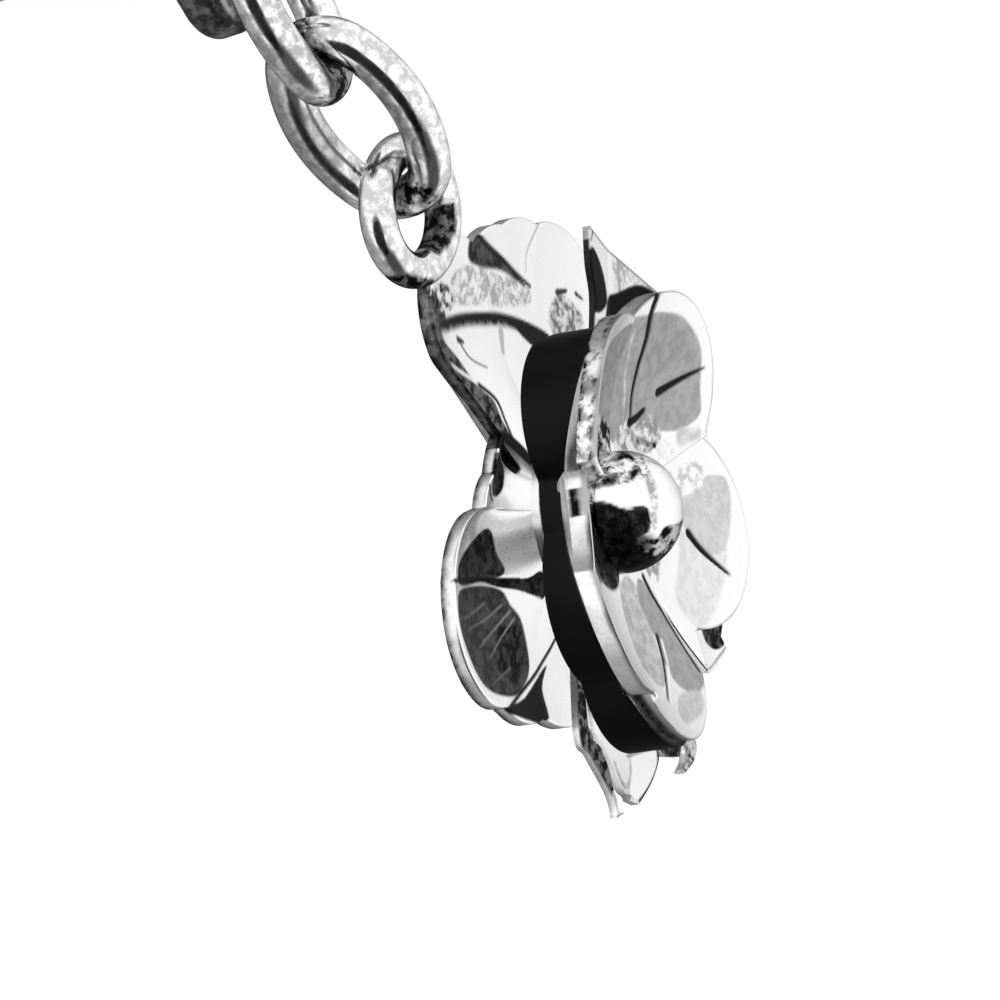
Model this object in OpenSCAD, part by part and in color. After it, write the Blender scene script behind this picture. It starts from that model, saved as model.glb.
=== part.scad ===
// Drop earring: a layered flower that hangs from a stud by two oval links.
// Millimetres, +Z up, the flower's face toward -Y. The origin is the middle of
// the button's back face, where the earring sits on the ear lobe.

/* [Stud] */
// Width of the plain button, which has round ends
button_wid = 3.6; // [3.2:0.1:4.2]
// Height of the button
button_h = 8.6; // [7.6:0.2:9]
// Thickness of the button
button_t = 1.6; // [1.4:0.1:2]
// Radius of the button's rounded edges
button_round = 0.5; // [0.3:0.1:0.6]
// Diameter of the ear post
post_d = 0.9; // [0.8:0.05:1]
// Length of the ear post behind the button
post_len = 10; // [9:0.5:11]
// Wire diameter of the staple that the chain hangs from
staple_wire_d = 1; // [0.8:0.1:1.1]

/* [Chain] */
// Wire diameter of the two oval links
link_wire_d = 1.5; // [1.3:0.1:1.6]
// Outer length of a link
link_len = 8.3; // [8:0.1:9]
// Outer width of a link
link_wid = 5.6; // [5.4:0.1:5.8]
// Centreline radius of a link's round ends
link_end_r = 1.6; // [1.4:0.1:1.8]
// Wire diameter of the ring on the flower
ring_wire_d = 1.3; // [1.1:0.1:1.4]
// Outer diameter of the ring on the flower
ring_d = 5.5; // [5.4:0.1:6]
// Clearance between two loops that hang in each other
hang_gap = 0.13; // [0.13:0.01:0.16]

/* [Flower] */
// Height from the flower's axis to the middle of its ring
ring_rise = 13.7; // [13.5:0.1:14.2]
// Lean of the flower's face below the horizontal, in degrees
face_lean = 7; // [4:0.5:9]
// Thickness of the front blossom
blossom_t = 0.7; // [0.6:0.1:1]
// How much further the blossom's rim lifts to the front
rim_lift = 0; // [-0.2:0.1:0.3]
// Thickness of the back petals
back_t = 0.45; // [0.4:0.05:0.6]
// Depth of the hollow in the back petals
back_dish = 0.6; // [0.3:0.1:0.9]
// Depth of the creases in the back petals
crease_depth = 0.3; // [0.1:0.1:0.4]
// Space between the blossom and the back petals, for the calyx and the leaves
layer_space = 1.5; // [1.3:0.1:1.8]
// Thickness of the sheet that the leaves are cut from
leaf_t = 0.4; // [0.3:0.05:0.5]
// How far the calyx's rim stands in front of its back
cup_rise = 0.7; // [0.5:0.1:0.9]
// Radius of the round bead at the flower's middle
bead_r = 2.2; // [2:0.1:2.4]
// Radius of the pin that holds the layers
pin_r = 0.6; // [0.5:0.05:0.7]

/* [Hidden] */
$fn = 64;

// Clearance between two pieces that are stacked on the pin
stack_gap = 0.05;

// The upper link hangs just in front of the button, turned a little, and the
// lower link leans forward below it.
UPPER_TURN = -7;
LOWER_LEAN = 3;
BUTTON_GAP = 0.1;
upper_y = -button_t - link_wire_d / 2 - link_wid / 2 * sin(abs(UPPER_TURN)) - BUTTON_GAP;
// How far the swell over a joint of two arcs stands out from the wire
JOINT_SWELL = 0.02;
// Distance between the wire middles at the two ends of a link
link_pitch = link_len - link_wire_d;
// How far two hooked loops' wire middles pass each other
hook_link = link_wire_d + hang_gap;
hook_ring = (link_wire_d + ring_wire_d) / 2 + hang_gap;
ring_mid_r = (ring_d - ring_wire_d) / 2;
staple_mid_r = (link_wire_d + staple_wire_d) / 2 + hang_gap;

// Heights of the wire middles down the chain
upper_top_z = -0.3;
upper_bottom_z = upper_top_z - link_pitch;
lower_top_z = upper_bottom_z + hook_link;
hinge_y = upper_y - link_pitch * sin(LOWER_LEAN);
hinge_z = lower_top_z - link_pitch * cos(LOWER_LEAN);
ring_top_z = hinge_z + hook_ring;

// Depths of the flower's layers, measured forward from the blossom's middle
blossom_back = -blossom_t;
calyx_front = blossom_back - stack_gap;
back_front = blossom_back - layer_space;
leaf_back = back_front + stack_gap;
calyx_back = leaf_back + leaf_t + stack_gap;
back_back = back_front - back_t;
// How far the back petals' rims sink behind their middle; the ring lies there
BACK_SINK = 0.7;
ring_depth = back_front - BACK_SINK;
// Turn of the ring out of the flower's plane, in degrees
RING_TURN = 8;

// Least distance from the axis to each sheet's outline, between its lobes
BLOSSOM_WAIST = 5;
CALYX_WAIST = 4.7;
BACK_WAIST = 4.3;

// Lobes of the blossom: angle from straight up toward +X, reach, lobe radius
BLOSSOM_LOBES = [
    [350, 7.5, 5.4], [70, 8.6, 3.8], [134, 8.5, 3.8],
    [212, 8.4, 3.7], [264, 7.8, 4], [304, 7.9, 2.4]
];
// Blossom petals: start angle, lift of the rim there and at the petal's far end
BLOSSOM_PETALS = [
    [32, 2, 1.4], [104, 0.9, 1.3], [177, 0.8, 1.9], [244, 2.2, 2.5], [313, 3.4, 2.7]
];
// Radius at which the petals' lift is measured, and how late it sets in
LIFT_R = 8;
LIFT_CURVE = 1.8;

// Lobes of the calyx cup: angle, reach, radius of the lobe
CALYX_LOBES = [
    [4, 7.1, 3.2], [70, 7.8, 3.6], [134, 7.6, 3.6], [212, 8.6, 3.6], [248, 6.7, 3.6]
];

// Angle of the calyx cup's deep side, and its thickness opposite
CUP_SIDE = 288;
CUP_SHEET = 0.5;

// Back petals, three lobes or more to each: angle, reach, radius of the lobe
BACK_LOBES = [
    [7, 11.8, 2.6], [30, 10.9, 4.1], [63, 11.9, 4.4],
    [118, 9.4, 3.2], [148, 9.4, 3.8], [182, 8.8, 3.2],
    [222, 7.4, 5], [258, 8.4, 3.8], [274, 9.3, 3.2], [295, 6, 2.1]
];
// Angles of the creases between the lobes of one petal, and their half width
CREASES = [18, 48, 132, 167, 258, 294];
CREASE_HALF = 5;
// Radius of the back petals' flat middle
BACK_HUB_R = 1.6;
// How far the back petals swirl, in degrees for each millimetre nearer the axis
// than the radius where that begins
BACK_SWIRL = 1.6;
SWIRL_R = 9;

// Leaves, as outlines of angle and distance from the axis
LEAVES = [
    [[52, 2], [67, 9.1], [61, 10.6], [59, 11.6], [64, 11.9], [75, 12], [86, 12.5],
        [90, 11], [93, 8], [96, 2]],
    [[138, 2], [143, 12.2], [147, 12.6], [151, 11.7], [154, 11], [160, 2]],
    [[166, 2], [171, 11.1], [178, 11.5], [180, 10.6], [187, 10.2], [192, 2]],
    [[186, 2], [191, 9.9], [202, 10.5], [207, 9.9], [212, 10.9], [219, 9.6], [225, 8],
        [232, 2]]
];

BLOSSOM_SPOKES = 100;
BACK_SPOKES = 120;
SHEET_RINGS = 6;
LEAF_HUB_R = 3.2;

// Smallest turn between two angles, always positive
function turn(a, b) =
    let (d = abs(a - b) % 360)
    d > 180 ? 360 - d : d;

// Distance from the axis to the far side of one round lobe, or 0 beside it
function lobe_reach(a, lobe) =
    let (
        d = turn(a, lobe[0]),
        mid = lobe[1] - lobe[2],
        under = lobe[2] * lobe[2] - pow(mid * sin(d), 2)
    )
    d > 90 || under < 0 ? 0 : mid * cos(d) + sqrt(under);

function outline(a, lobes, least) = max(least, max([for (l = lobes) lobe_reach(a, l)]));

function blossom_reach(a) = outline(a, BLOSSOM_LOBES, BLOSSOM_WAIST);

// Lift of the rim: even from one end of a petal to the other, with a step down
// where the next petal starts below it
function blossom_lift(a) =
    let (
        n = len(BLOSSOM_PETALS),
        started = [for (i = [0 : n - 1]) if (a >= BLOSSOM_PETALS[i][0]) i],
        i = len(started) == 0 ? n - 1 : started[len(started) - 1],
        petal = BLOSSOM_PETALS[i],
        next = BLOSSOM_PETALS[(i + 1) % n][0] + (i == n - 1 ? 360 : 0),
        along = ((len(started) == 0 ? a + 360 : a) - petal[0]) / (next - petal[0])
    )
    rim_lift + petal[1] + (petal[2] - petal[1]) * along;

function blossom_front(a, r) =
    blossom_lift(a) * pow(max(0, r - bead_r) / (LIFT_R - bead_r), LIFT_CURVE);

// The calyx cup follows the blossom's back and comes to a smaller rim. It is
// drawn deep on its lower side and is a thin sheet on the other.
function calyx_reach(a) = outline(a, CALYX_LOBES, CALYX_WAIST);
function calyx_top(a, r) = blossom_front(a, r) + calyx_front;
function calyx_deep(a) = min(1, max(0, 2 * cos(a - CUP_SIDE) + 0.6));
function calyx_under(a, r) =
    let (floor = calyx_back + cup_rise * max(0, r - bead_r) / (calyx_reach(a) - bead_r))
    floor * calyx_deep(a) + (calyx_top(a, r) - CUP_SHEET) * (1 - calyx_deep(a));

function back_reach(a) = outline(a, BACK_LOBES, BACK_WAIST);
function crease(a) = max([for (c = CREASES) max(0, 1 - turn(a, c) / CREASE_HALF)]);
function back_surface(a, r) =
    let (t = max(0, r - BACK_HUB_R) / (back_reach(a) - BACK_HUB_R))
    back_front - BACK_SINK * t - back_dish * sin(180 * t)
        - crease_depth * crease(a) * t * (1.4 - t);

// A point of the flower: angle, distance from the axis, depth forward
function at(a, r, f) = [r * sin(a), -f, r * cos(a)];

// A closed sheet round the pin: functions give its outline, front and back. It
// is flat out to the hub's radius, and its spokes can swirl toward the axis.
module sheet(reach, front, back, spokes, hub_r, swirl = 0) {
    hole_r = pin_r + stack_gap;
    n = 2 * (SHEET_RINGS + 1);
    loops = [
        for (s = [0 : spokes - 1])
        let (a = s * 360 / spokes, rim = reach(a))
        [
            for (i = [0 : n - 1])
            let (
                on_front = i <= SHEET_RINGS,
                k = on_front ? i : n - 1 - i,
                r = k == 0 ? hole_r : hub_r + (rim - hub_r) * (k - 1) / (SHEET_RINGS - 1)
            )
            at(a + swirl * max(0, SWIRL_R - r), r, on_front ? front(a, r) : back(a, r))
        ]
    ];
    points = [for (l = loops) each l];
    faces = [
        for (s = [0 : spokes - 1])
        for (i = [0 : n - 1])
        let (
            p = s * n + i,
            q = s * n + (i + 1) % n,
            p2 = ((s + 1) % spokes) * n + i,
            q2 = ((s + 1) % spokes) * n + (i + 1) % n
        )
        each [[p, q, p2], [q, q2, p2]]
    ];
    polyhedron(points = points, faces = faces);
}

// Part of a ring of round wire in the XY plane
module wire_arc(mid_r, wire_d, start, sweep) {
    rotate([0, 0, start])
        rotate_extrude(angle = sweep)
            translate([mid_r, 0]) circle(d = wire_d);
}

// A cylinder along +Y that starts at a depth
module along_y(r, from, length) {
    translate([0, from, 0]) rotate([-90, 0, 0]) cylinder(r = r, h = length);
}

// An oval link in the XY plane, its length along Y: four arcs that meet smoothly,
// each joint covered by a slight swell
module oval_link() {
    half_l = link_pitch / 2;
    half_w = (link_wid - link_wire_d) / 2;
    end_y = half_l - link_end_r;
    side_r = (half_w * half_w + end_y * end_y - link_end_r * link_end_r)
        / (2 * (half_w - link_end_r));
    side_x = side_r - half_w;
    side_turn = asin(end_y / (side_r - link_end_r));
    union() {
        translate([-side_x, 0, 0])
            wire_arc(side_r, link_wire_d, -side_turn, 2 * side_turn);
        translate([side_x, 0, 0])
            wire_arc(side_r, link_wire_d, 180 - side_turn, 2 * side_turn);
        translate([0, end_y, 0])
            wire_arc(link_end_r, link_wire_d, side_turn, 180 - 2 * side_turn);
        translate([0, -end_y, 0])
            wire_arc(link_end_r, link_wire_d, 180 + side_turn, 180 - 2 * side_turn);
        for (x = [-1, 1], y = [-1, 1])
            translate([
                x * link_end_r * cos(side_turn),
                y * (end_y + link_end_r * sin(side_turn))
            ])
                rotate([90, 0, x * y * side_turn])
                    cylinder(d = link_wire_d + 2 * JOINT_SWELL, h = 0.3, center = true);
    }
}

// Puts the flower's own frame in its hanging place: its ring rests in the lower
// link, and the flower leans about the top of that ring.
module hang_flower() {
    translate([0, hinge_y, ring_top_z])
        rotate([face_lean, 0, 0])
            translate([0, ring_depth, -ring_rise - ring_mid_r])
                children();
}

// Half of the button's section, both its edges rounded
module button_section() {
    edge = button_round;
    square([button_wid / 2 - edge, button_t]);
    translate([0, edge]) square([button_wid / 2, button_t - 2 * edge]);
    for (y = [edge, button_t - edge])
        translate([button_wid / 2 - edge, y]) circle(r = edge);
}

module ear_stud() {
    end_z = (button_h - button_wid) / 2;
    color("silver") union() {
        for (s = [-1, 1])
            translate([0, 0, s * end_z])
                rotate([90, 0, 0]) rotate_extrude() button_section();
        for (s = [0, 1])
            translate([0, 0, -end_z])
                mirror([s, 0, 0]) mirror([0, 1, 0])
                    linear_extrude(2 * end_z) button_section();
        along_y(post_d / 2, -button_t / 2, post_len + button_t / 2);
        translate([0, upper_y, upper_top_z]) rotate([0, -90, 0]) {
            wire_arc(staple_mid_r, staple_wire_d, 180, 180);
            for (s = [-1, 1])
                translate([s * staple_mid_r, 0, 0])
                    rotate([-90, 0, 0])
                        cylinder(d = staple_wire_d, h = -upper_y - button_t / 2);
        }
    }
}

module upper_link() {
    color("silver")
        translate([0, upper_y, (upper_top_z + upper_bottom_z) / 2])
            rotate([90, 0, -UPPER_TURN]) oval_link();
}

module lower_link() {
    color("silver")
        translate([0, (upper_y + hinge_y) / 2, (lower_top_z + hinge_z) / 2])
            rotate([-LOWER_LEAN, 0, 0]) rotate([90, 0, 90]) oval_link();
}

module back_petals() {
    color("gainsboro") hang_flower() union() {
        sheet(function(a) back_reach(a), function(a, r) back_surface(a, r),
            function(a, r) back_surface(a, r) - back_t, BACK_SPOKES, BACK_HUB_R, BACK_SWIRL);
        translate([0, -ring_depth, ring_rise])
            rotate([90, 0, -RING_TURN]) wire_arc(ring_mid_r, ring_wire_d, 0, 360);
    }
}

module leaf_sheet() {
    color("gainsboro") hang_flower()
        translate([0, -leaf_back, 0]) rotate([90, 0, 0]) linear_extrude(leaf_t)
            difference() {
                union() {
                    circle(r = LEAF_HUB_R);
                    for (leaf = LEAVES)
                        polygon([
                            for (i = [len(leaf) - 1 : -1 : 0])
                            let (a = leaf[i][0], r = leaf[i][1])
                            [r * sin(a), r * cos(a)]
                        ]);
                }
                circle(r = pin_r + stack_gap);
            }
}

module calyx() {
    color("dimgray") hang_flower()
        sheet(function(a) calyx_reach(a), function(a, r) calyx_top(a, r),
            function(a, r) calyx_under(a, r), BLOSSOM_SPOKES, bead_r);
}

module front_blossom() {
    color("gainsboro") hang_flower()
        sheet(function(a) blossom_reach(a), function(a, r) blossom_front(a, r),
            function(a, r) blossom_front(a, r) - blossom_t, BLOSSOM_SPOKES, bead_r);
}

module centre_rivet() {
    color("silver") hang_flower() union() {
        translate([0, -stack_gap, 0]) intersection() {
            sphere(r = bead_r);
            along_y(bead_r, -bead_r, bead_r);
        }
        along_y(pin_r, -0.5, 0.5 - back_back + stack_gap);
        along_y(1.3, stack_gap - back_back, 0.5);
    }
}

ear_stud();
upper_link();
lower_link();
back_petals();
leaf_sheet();
calyx();
front_blossom();
centre_rivet();
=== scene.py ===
"""A silver drop earring: a layered flower that hangs from a plain stud by two oval links.

Sizes are in millimetres, in a frame whose origin is the middle of the back of the stud's button,
where Z is up and the flower faces -Y. Each sub-assembly is a class that shapes its pieces.
"""

from __future__ import annotations

import logging
import math
from dataclasses import dataclass
from enum import Enum
from typing import Any, Callable, Sequence

import bmesh
import bpy
import numpy as np
from bmesh.types import BMEdge, BMesh, BMFace, BMVert
from mathutils import Matrix, Vector

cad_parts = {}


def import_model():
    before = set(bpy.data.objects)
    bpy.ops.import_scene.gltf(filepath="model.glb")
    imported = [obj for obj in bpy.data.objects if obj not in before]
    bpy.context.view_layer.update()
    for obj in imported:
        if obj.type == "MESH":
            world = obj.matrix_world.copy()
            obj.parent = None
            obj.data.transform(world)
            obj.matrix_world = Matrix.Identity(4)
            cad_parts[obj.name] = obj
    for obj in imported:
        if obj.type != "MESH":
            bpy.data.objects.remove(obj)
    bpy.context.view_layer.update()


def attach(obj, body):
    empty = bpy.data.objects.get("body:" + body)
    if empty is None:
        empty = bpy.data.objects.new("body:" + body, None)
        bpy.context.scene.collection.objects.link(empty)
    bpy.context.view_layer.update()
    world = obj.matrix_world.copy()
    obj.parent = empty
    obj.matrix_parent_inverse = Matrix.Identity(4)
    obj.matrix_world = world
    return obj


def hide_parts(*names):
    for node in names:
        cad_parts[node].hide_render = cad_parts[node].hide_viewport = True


MM = 0.001
# Vertices nearer than this are one, and this keeps a division from failing
WELD, TINY = 1e-4, 1e-12
# Edges that turn by more than this many degrees stay sharp
CRISP = 40.0
# Within this distance of the axis a sheet's marks may swirl
SWIRL_R = 9.0
# How far from its outline a sheet's outermost edge begins to be painted darker, a painted dark reflection
# along the rim, and where it is darkest
RIM_DARK_REFLECTION_BAND = 0.12, 0.03
# How the plain back of a sheet looks
BACK_TONE, BACK_SPECK = 0.72, 0.12
# The names of a piece's painted brightness, which holds its oxide and also painted shade, highlights and
# reflections, and of its strength of spots
TONE, SPECK = "tone", "speck"
log = logging.getLogger("earring")

Array = np.ndarray
Place = tuple[float, float]
Polar = tuple[float, float]
Rule = Callable[[Array, Array], Array]
Edge = Callable[[Array], Array]


class Body(Enum):
    """The two moving bodies of the earring."""

    HANGER = "hanger"
    DROP = "drop"


class Slot(Enum):
    """The finishes that the record names."""

    POLISHED = "polished_silver"
    PETAL = "petal_silver"
    ENGRAVED = "engraved_silver"
    BLACKENED_AND_SHADED = "blackened_silver"


# Places and shapes


def moved(x: float = 0.0, y: float = 0.0, z: float = 0.0) -> Matrix:
    """Gives a move, in millimetres."""
    return Matrix.Translation((x, y, z))


def rotation(degrees: float, axis: str) -> Matrix:
    """Gives a turn about an axis."""
    return Matrix.Rotation(math.radians(degrees), 4, axis)


def direction(azimuth: float, height: float) -> Vector:
    """Gives a direction by its angles round from -Y and above the horizon, in degrees."""
    az, el = math.radians(azimuth), math.radians(height)
    return Vector((math.sin(az) * math.cos(el), -math.cos(az) * math.cos(el), math.sin(el)))


def show(item: bpy.types.Object) -> None:
    """Puts an object in the scene."""
    bpy.context.scene.collection.objects.link(item)


def only(kind: type, geom: Sequence[Any]) -> list[Any]:
    """Picks the vertices, the edges or the faces of what an operator gives back."""
    return [g for g in geom if isinstance(g, kind)]


def close_up(bm: BMesh, dist: float = WELD) -> None:
    """Merges the vertices that meet and turns every face outwards."""
    bmesh.ops.remove_doubles(bm, verts=bm.verts[:], dist=dist)
    bmesh.ops.recalc_face_normals(bm, faces=bm.faces[:])


def ease(value: Array, low: float, high: float) -> Array:
    """Turns a value into a smooth share from 0 at low to 1 at high.

    Args:
        value: The values.
        low: Where the share is 0.
        high: Where the share is 1.

    Returns:
        The shares, each from 0 to 1.
    """
    t = np.clip((value - low) / (high - low), 0.0, 1.0)
    return t * t * (3.0 - 2.0 * t)


def to_plane(point: Polar) -> Place:
    """Gives the plane place (across, up) of a point told as angle from up and distance."""
    angle = math.radians(point[0])
    return point[1] * math.sin(angle), point[1] * math.cos(angle)


def segment_distance(x: Array, z: Array, a: Place, b: Place) -> tuple[Array, Array]:
    """Measures how far points lie from a straight segment.

    Args:
        x: The points' places across.
        z: The points' heights.
        a: The segment's first end.
        b: The segment's last end.

    Returns:
        The distances, and the share of the way along the segment nearest to each point.
    """
    dx, dz = b[0] - a[0], b[1] - a[1]
    along = np.clip(((x - a[0]) * dx + (z - a[1]) * dz) / (dx * dx + dz * dz + TINY), 0.0, 1.0)
    return np.hypot(x - a[0] - along * dx, z - a[1] - along * dz), along


def smooth_line(points: Sequence[Place], closed: bool = False, steps: int = 4) -> list[Place]:
    """Rounds a line of a few plane places into a smooth curve through them.

    Args:
        points: The places.
        closed: Whether the last place joins the first.
        steps: How many pieces each stretch is cut into.

    Returns:
        The curve's places.
    """
    if len(points) < 3:
        return list(points)
    first, last = (points[-1:], points[:2]) if closed else (points[:1], points[-1:])
    spots = [*first, *points, *last]
    curve = [
        tuple(
            0.5 * (2 * b[i] + (c[i] - a[i]) * t + (2 * a[i] - 5 * b[i] + 4 * c[i] - d[i]) * t * t
                   + (3 * b[i] - a[i] - 3 * c[i] + d[i]) * t**3)
            for i in (0, 1)
        )
        for a, b, c, d in zip(spots, spots[1:], spots[2:], spots[3:])
        for t in (s / steps for s in range(steps))
    ]
    return curve if closed else [*curve, points[-1]]


@dataclass(frozen=True)
class Mark:
    """Something drawn on a piece, seen from the front of the shape that it is formed from.

    Attributes:
        points: Its points, each an angle from up and a distance from the middle.
        tone: How bright the silver is in it.
        blur: How softly it ends.
        speck: How strongly spots break its tone.
        depth: How deep it is cut.
    """

    points: tuple[Polar, ...]
    tone: float = 0.02
    blur: float = 0.09
    speck: float = 0.0
    depth: float = 0.0

    def mask(self, x: Array, z: Array) -> Array:
        """Gives the mark's strength at each place, from 0 to 1."""
        raise NotImplementedError


@dataclass(frozen=True)
class Stroke(Mark):
    """A drawn line.

    Attributes:
        half: Half its width.
        thin: How much narrower it is at its last point, as a share.
    """

    half: float = 0.08
    thin: float = 0.4

    def mask(self, x: Array, z: Array) -> Array:
        """Gives the line's strength at each place."""
        spots = smooth_line([to_plane(p) for p in self.points])
        best = np.zeros_like(x)
        count = len(spots) - 1
        for k in range(count):
            away, along = segment_distance(x, z, spots[k], spots[k + 1])
            half = self.half * (1.0 - self.thin * (k + along) / count)
            best = np.maximum(best, 1.0 - ease(away - half, -self.blur / 2, self.blur / 2))
        return best


@dataclass(frozen=True)
class Patch(Mark):
    """An area inside a smooth outline."""

    def mask(self, x: Array, z: Array) -> Array:
        """Gives the area's strength at each place."""
        spots = smooth_line([to_plane(p) for p in self.points], closed=True)
        away = np.full_like(x, np.inf)
        inside = np.zeros_like(x, dtype=bool)
        for a, b in zip(spots, spots[1:] + spots[:1]):
            away = np.minimum(away, segment_distance(x, z, a, b)[0])
            crosses = (a[1] > z) != (b[1] > z)
            rise = b[1] - a[1] or TINY
            inside ^= crosses & (x < (b[0] - a[0]) * (z - a[1]) / rise + a[0])
        return ease(np.where(inside, away, -away), -self.blur / 2, self.blur / 2)


@dataclass(frozen=True)
class Wall:
    """How bright a sheet's cut edge is painted, from its front to its back; its tones are painted highlights
    and painted shade on the edge.

    Attributes:
        tones: Its brightness at even steps toward the back.
        speck: How strongly spots break it.
        start: Angle where this begins.
        stop: Angle where it ends.
    """

    tones: tuple[float, ...] = (1.0, 1.0, 1.0, 0.8)
    speck: float = 0.1
    start: float = 0.0
    stop: float = 360.0


@dataclass(frozen=True)
class Lobe:
    """One round lobe of a petal's outline: its angle, how far it reaches, and its radius."""

    angle: float
    reach: float
    radius: float

    def edge(self, angles: Array) -> Array:
        """Gives the distance from the axis to the lobe's far side at each angle, or 0."""
        turn = np.radians(np.abs((angles - self.angle + 180.0) % 360.0 - 180.0))
        middle = self.reach - self.radius
        under = self.radius**2 - (middle * np.sin(turn)) ** 2
        far = middle * np.cos(turn) + np.sqrt(np.maximum(under, 0.0))
        return np.where((turn <= math.pi / 2) & (under >= 0.0), far, 0.0)


@dataclass(frozen=True)
class Outline:
    """An outline of lobes round the axis, which never comes nearer than its waist."""

    waist: float
    lobes: tuple[Lobe, ...]

    def __call__(self, angles: Array) -> Array:
        """Gives the distance from the axis to the outline at each angle."""
        return np.maximum(self.waist, np.max([lobe.edge(angles) for lobe in self.lobes], axis=0))


@dataclass(frozen=True)
class SheetCut:
    """How one fan-shaped sheet is cut round the flower's axis.

    Attributes:
        start: Angle where it starts.
        stop: Angle where it ends.
        inner: Distance from the axis to its inner edge.
        reach: Its outline, as a rule of the angle.
        front: The depth of its front, as a rule of angle and distance.
        thick: Its thickness.
        shoulder: Radius of its rounded outer edge.
        sides: Radius of its rounded side edges, or 0.
        columns: Cells round the axis.
        rows: Cells from the inner edge to the shoulder.
        marks: What is drawn on its front, in order.
        walls: How bright its cut edge is; a later one covers an earlier one.
        edge: How bright its outermost edge is painted: a painted dark reflection along its outline.
        swirl: Degrees that it swirls for each millimetre nearer than SWIRL_R.
        ROUND: How many cells a rounded edge takes.
    """

    start: float
    stop: float
    inner: float
    reach: Edge
    front: Rule
    thick: float
    shoulder: float = 0.15
    sides: float = 0.0
    columns: int = 120
    rows: int = 60
    marks: tuple[Mark, ...] = ()
    walls: tuple[Wall, ...] = (Wall(),)
    swirl: float = 0.0
    edge: float = 1.0

    ROUND = 5

    def spread(self, share: Array, cells: int, span: Array, first: float, last: float) -> tuple[Array, Array]:
        """Places evenly numbered lines so that the rounded edges get enough of them.

        Args:
            share: Each line's number as a share of all.
            cells: How many cells there are.
            span: The length to fill.
            first: Radius of the rounding at the first line, or 0.
            last: Radius of the rounding at the last line, or 0.

        Returns:
            Each line's place along the span, and how far the rounding sinks it.
        """
        index = np.rint(share * cells)
        low = self.ROUND if first > 0 else 0
        high = cells - (self.ROUND if last > 0 else 0)
        place = first + (span - first - last) * (index - low) / (high - low)
        sink = np.zeros_like(place)
        for edge, radius, outward in ((low - index, first, 0), (index - high, last, 1)):
            bend = np.clip(edge, 0, None) / self.ROUND * math.pi / 2
            shift = radius * np.sin(bend)
            end = span - radius + shift if outward else radius - shift
            place = np.where(bend > 0, end, place)
            sink = np.where(bend > 0, radius * (1 - np.cos(bend)), sink)
        return place, sink


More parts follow.
